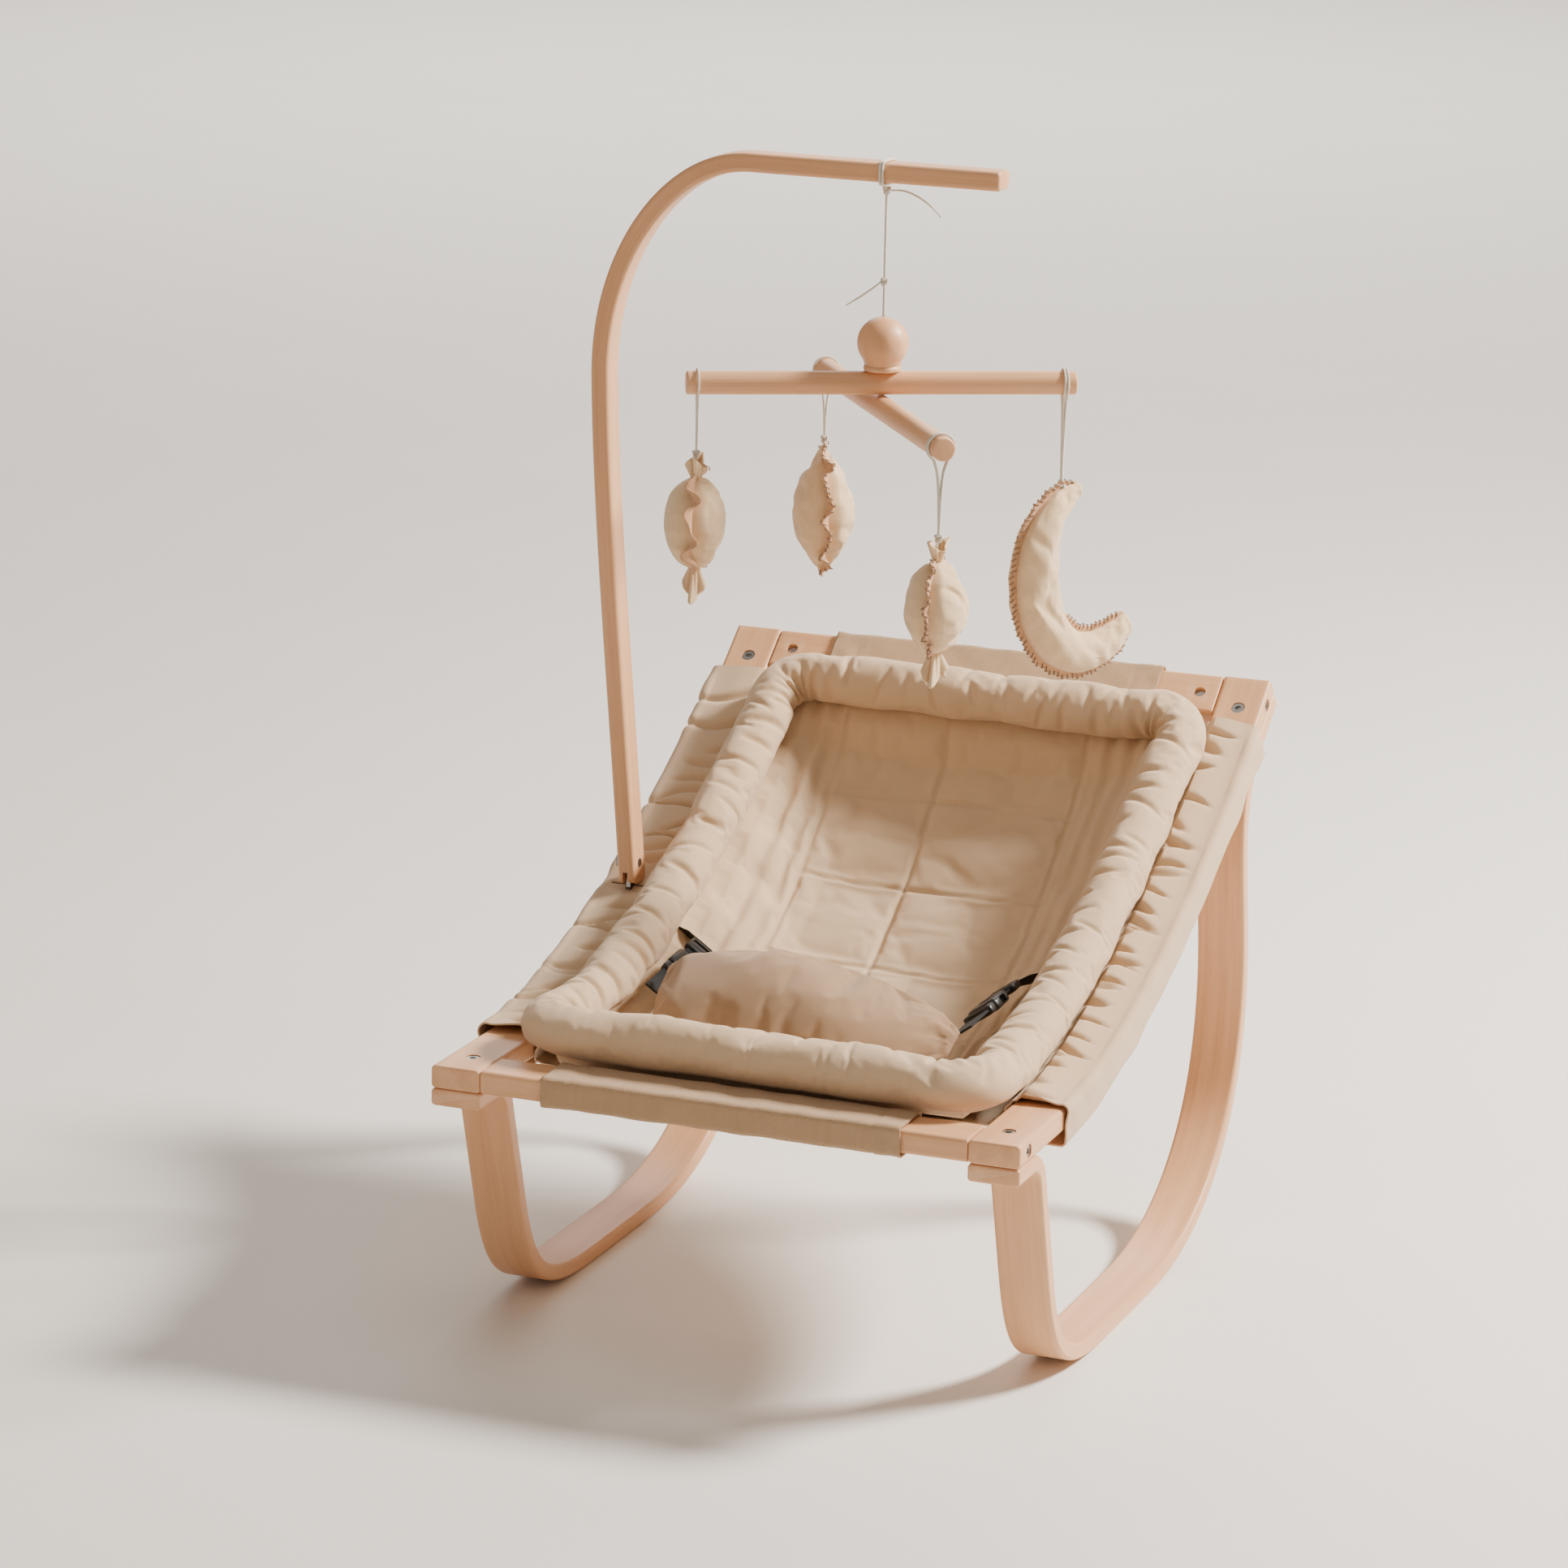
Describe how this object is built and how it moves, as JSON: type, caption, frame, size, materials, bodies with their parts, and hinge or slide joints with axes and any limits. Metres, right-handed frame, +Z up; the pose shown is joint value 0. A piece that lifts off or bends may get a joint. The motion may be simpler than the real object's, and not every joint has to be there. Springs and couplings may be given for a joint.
{
  "type": "baby bouncer seat",
  "caption": "Bentwood rocking infant seat: a padded sling between two bent rails, a lap cover with a buckled belt, and a bent wooden arch that carries a mobile of stuffed toys.",
  "frame": {"origin": "the middle of the bottom of the whole object's box, on the floor under the rockers", "axes": "+Z up, +Y from the foot end towards the head end, +X to the right for someone standing at the foot end and looking at the seat; the toy arch stands on the -X rail"},
  "size_m": [0.4354, 0.564, 0.7895],
  "materials": {
    "wood": "clear satin lacquer on beech",
    "steel": "zinc plated",
    "sling_linen": "plain woven linen mix",
    "pad_linen": "plain woven linen mix over fibre filling",
    "cover_linen": "fine plain weave over fibre filling",
    "webbing": "flat woven webbing",
    "buckle_plastic": "moulded",
    "cotton_string": "twisted cotton",
    "toy_cotton": "brushed cotton over fibre filling"
  },
  "bodies": {
    "frame": {"side_rail_left": "wood", "rocker_left": "wood", "crossbar_bolt_front_left": "steel", "barrel_nut_front_left": "steel", "rail_screw_front_left": "steel", "crossbar_bolt_rear_left": "steel", "barrel_nut_rear_left": "steel", "rail_screw_rear_left": "steel", "side_strap_left": "webbing", "buckle_socket_left": "buckle_plastic", "strap_adjuster_left": "buckle_plastic", "side_rail_right": "wood", "rocker_right": "wood", "crossbar_bolt_front_right": "steel", "barrel_nut_front_right": "steel", "rail_screw_front_right": "steel", "crossbar_bolt_rear_right": "steel", "barrel_nut_rear_right": "steel", "rail_screw_rear_right": "steel", "side_strap_right": "webbing", "buckle_socket_right": "buckle_plastic", "strap_adjuster_right": "buckle_plastic", "front_crossbar": "wood", "rear_crossbar": "wood", "seat_sling": "sling_linen", "front_loop": "sling_linen", "rear_loop": "sling_linen", "seat_pad": "pad_linen", "pad_roll": "pad_linen", "lap_cover": "cover_linen", "arch_bracket": "steel", "bracket_screw_outer": "steel", "bracket_screw_inner": "steel"},
    "arch": {"toy_arch": "wood", "arch_bolt": "steel", "arch_nut": "steel", "arm_loop": "cotton_string", "arm_knot": "cotton_string", "arm_string_tail": "cotton_string"},
    "string": {"mobile_string": "cotton_string", "ball_string_tail": "cotton_string"},
    "mobile": {"mobile_hub": "wood", "upper_dowel": "wood", "mobile_peg": "wood"},
    "cross": {"lower_dowel": "wood"},
    "candy": {"candy_string": "cotton_string", "toy_candy": "toy_cotton"},
    "moon": {"moon_string": "cotton_string", "toy_moon": "toy_cotton"},
    "lemon": {"lemon_string": "cotton_string", "toy_lemon": "toy_cotton"},
    "bonbon": {"bonbon_string": "cotton_string", "toy_bonbon": "toy_cotton"},
    "tongue_left": {"lap_strap_left": "webbing", "buckle_tongue_left": "buckle_plastic"},
    "tongue_right": {"lap_strap_right": "webbing", "buckle_tongue_right": "buckle_plastic"}
  },
  "joints": [
    {"name": "arch_tilt", "type": "hinge", "parent": "frame", "child": "arch", "pos_m": [-0.18567, 0.01672, 0.2703], "axis": [1, 0, 0], "range_deg": [-15, 20]},
    {"name": "mobile_swing", "type": "hinge", "parent": "arch", "child": "string", "pos_m": [-0.00267, 0.01672, 0.7665], "axis": [1, 0, 0], "range_deg": [-30, 30]},
    {"name": "mobile_spin", "type": "hinge", "parent": "string", "child": "mobile", "pos_m": [-0.00267, 0.01672, 0.68], "axis": [0, 0, 1], "range_deg": [-180, 105]},
    {"name": "cross_turn", "type": "hinge", "parent": "mobile", "child": "cross", "pos_m": [-0.00267, 0.01672, 0.6173], "axis": [0, 0, 1], "range_deg": [-20, 20]},
    {"name": "candy_swing", "type": "hinge", "parent": "mobile", "child": "candy", "pos_m": [-0.11569, -0.04337, 0.6345], "axis": [0.8829, 0.4695, 0], "range_deg": [-20, 20]},
    {"name": "moon_swing", "type": "hinge", "parent": "mobile", "child": "moon", "pos_m": [0.11035, 0.07681, 0.6345], "axis": [0.8829, 0.4695, 0], "range_deg": [-20, 20]},
    {"name": "lemon_swing", "type": "hinge", "parent": "cross", "child": "lemon", "pos_m": [-0.09152, 0.14128, 0.6173], "axis": [0.5807, -0.8141, 0], "range_deg": [-20, 20]},
    {"name": "bonbon_swing", "type": "hinge", "parent": "cross", "child": "bonbon", "pos_m": [0.08618, -0.10784, 0.6173], "axis": [0.5807, -0.8141, 0], "range_deg": [-20, 20]},
    {"name": "tongue_slide_left", "type": "slide", "parent": "frame", "child": "tongue_left", "axis": [0.0127, -0.9973, -0.0718], "range_m": [0, 0.02]},
    {"name": "tongue_slide_right", "type": "slide", "parent": "frame", "child": "tongue_right", "axis": [-0.0127, -0.9973, -0.0718], "range_m": [0, 0.02]}
  ]
}
